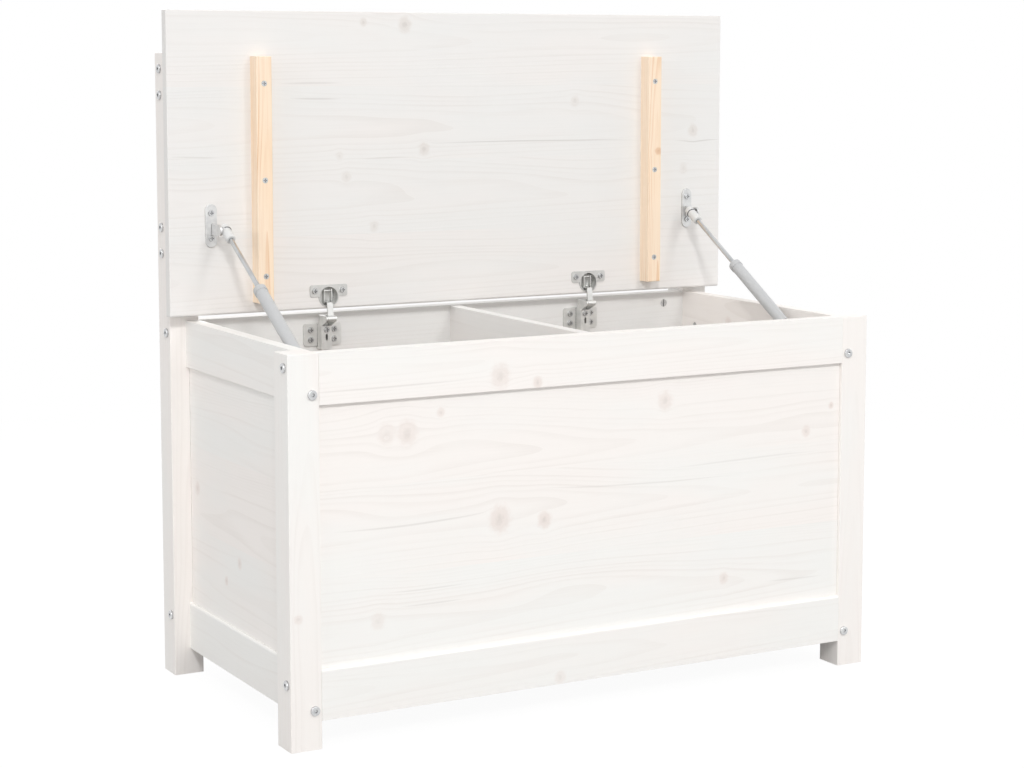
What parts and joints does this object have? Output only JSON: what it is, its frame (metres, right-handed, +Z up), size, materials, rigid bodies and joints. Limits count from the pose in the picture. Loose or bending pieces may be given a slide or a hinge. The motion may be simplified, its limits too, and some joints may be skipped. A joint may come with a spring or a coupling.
{
  "type": "storage bench",
  "caption": "Pine storage bench: a panelled box on square posts with a centre divider, backrest rails and a lift-up seat lid on concealed hinges and gas struts.",
  "frame": {"origin": "on the floor, under the middle of the bench", "axes": "+X to the right seen from the front, +Y to the back, +Z up; the lid is open at rest"},
  "size_m": [0.8, 0.4052, 0.8215],
  "materials": {
    "white_pine": "white-stained solid pine, satin, faint grain and knots",
    "bare_pine": "bare planed pine",
    "zinc_steel": "bright zinc plating",
    "polished_rod": "polished hard-chromed rod",
    "strut_grey": "light grey satin paint",
    "socket_plastic": "light grey moulded nylon"
  },
  "bodies": {
    "carcass": {"backrest_bolts": "zinc_steel", "backrest_lower_rail": "white_pine", "backrest_nuts": "zinc_steel", "backrest_top_rail": "white_pine", "centre_divider": "white_pine", "floor_cleat_screws": "zinc_steel", "floor_panel": "white_pine", "front_bottom_rail": "white_pine", "front_floor_cleat": "white_pine", "front_left_post": "white_pine", "front_panel": "white_pine", "front_rail_bolts": "zinc_steel", "front_rail_nuts": "zinc_steel", "front_right_post": "white_pine", "front_top_rail": "white_pine", "hinge_arm_pins": "zinc_steel", "hinge_arm_screws": "zinc_steel", "hinge_plate_screws": "zinc_steel", "left_bottom_rail": "white_pine", "left_hinge_arm": "zinc_steel", "left_hinge_plate": "zinc_steel", "left_panel": "white_pine", "left_strut_foot_bracket": "zinc_steel", "left_top_rail": "white_pine", "rear_bottom_rail": "white_pine", "rear_floor_cleat": "white_pine", "rear_left_post": "white_pine", "rear_panel": "white_pine", "rear_rail_bolts": "zinc_steel", "rear_rail_nuts": "zinc_steel", "rear_right_post": "white_pine", "rear_top_rail": "white_pine", "right_bottom_rail": "white_pine", "right_hinge_arm": "zinc_steel", "right_hinge_plate": "zinc_steel", "right_panel": "white_pine", "right_strut_foot_bracket": "zinc_steel", "right_top_rail": "white_pine", "side_rail_front_bolts": "zinc_steel", "side_rail_nuts": "zinc_steel", "side_rail_rear_bolts": "zinc_steel", "strut_foot_screws": "zinc_steel"},
    "lid": {"batten_screws": "zinc_steel", "hinge_cup_screws": "zinc_steel", "left_batten": "bare_pine", "left_hinge_cup": "zinc_steel", "left_strut_lid_bracket": "zinc_steel", "lid_board": "white_pine", "right_batten": "bare_pine", "right_hinge_cup": "zinc_steel", "right_strut_lid_bracket": "zinc_steel", "strut_lid_screws": "zinc_steel"},
    "left_link": {"left_hinge_link": "zinc_steel"},
    "left_rod": {"left_strut_rod": "polished_rod", "left_strut_socket": "socket_plastic"},
    "left_cylinder": {"left_strut_cylinder": "strut_grey"},
    "right_link": {"right_hinge_link": "zinc_steel"},
    "right_rod": {"right_strut_rod": "polished_rod", "right_strut_socket": "socket_plastic"},
    "right_cylinder": {"right_strut_cylinder": "strut_grey"}
  },
  "joints": [
    {"name": "lid_hinge", "type": "hinge", "parent": "carcass", "child": "lid", "pos_m": [0, 0.154, 0.4575], "axis": [1, 0, 0], "range_deg": [0, 90], "stiffness_Nm_per_rad": 1.6, "springref_deg": -34.38},
    {"name": "left_link_swing", "type": "hinge", "parent": "carcass", "child": "left_link", "pos_m": [-0.19, 0.1345, 0.438], "axis": [1, 0, 0], "range_deg": [-31.2, 0]},
    {"name": "left_strut_swing", "type": "hinge", "parent": "lid", "child": "left_rod", "pos_m": [-0.337, 0.115, 0.556], "axis": [1, 0, 0], "range_deg": [-120.63, 0]},
    {"name": "left_strut_slide", "type": "slide", "parent": "left_rod", "child": "left_cylinder", "axis": [0, 0.8594, 0.5112], "range_m": [0, 0.09764]},
    {"name": "right_link_swing", "type": "hinge", "parent": "carcass", "child": "right_link", "pos_m": [0.19, 0.1345, 0.438], "axis": [1, 0, 0], "range_deg": [-31.2, 0]},
    {"name": "right_strut_swing", "type": "hinge", "parent": "lid", "child": "right_rod", "pos_m": [0.337, 0.115, 0.556], "axis": [1, 0, 0], "range_deg": [-120.63, 0]},
    {"name": "right_strut_slide", "type": "slide", "parent": "right_rod", "child": "right_cylinder", "axis": [0, 0.8594, 0.5112], "range_m": [0, 0.09764]}
  ],
  "couplings": [
    {"joint": "left_link_swing", "follows": "lid_hinge", "ratio": -0.34606},
    {"joint": "left_strut_swing", "follows": "lid_hinge", "ratio": -1.3398},
    {"joint": "left_strut_slide", "follows": "lid_hinge", "m_per_rad": 0.062032},
    {"joint": "right_link_swing", "follows": "lid_hinge", "ratio": -0.34606},
    {"joint": "right_strut_swing", "follows": "lid_hinge", "ratio": -1.3398},
    {"joint": "right_strut_slide", "follows": "lid_hinge", "m_per_rad": 0.062032}
  ]
}
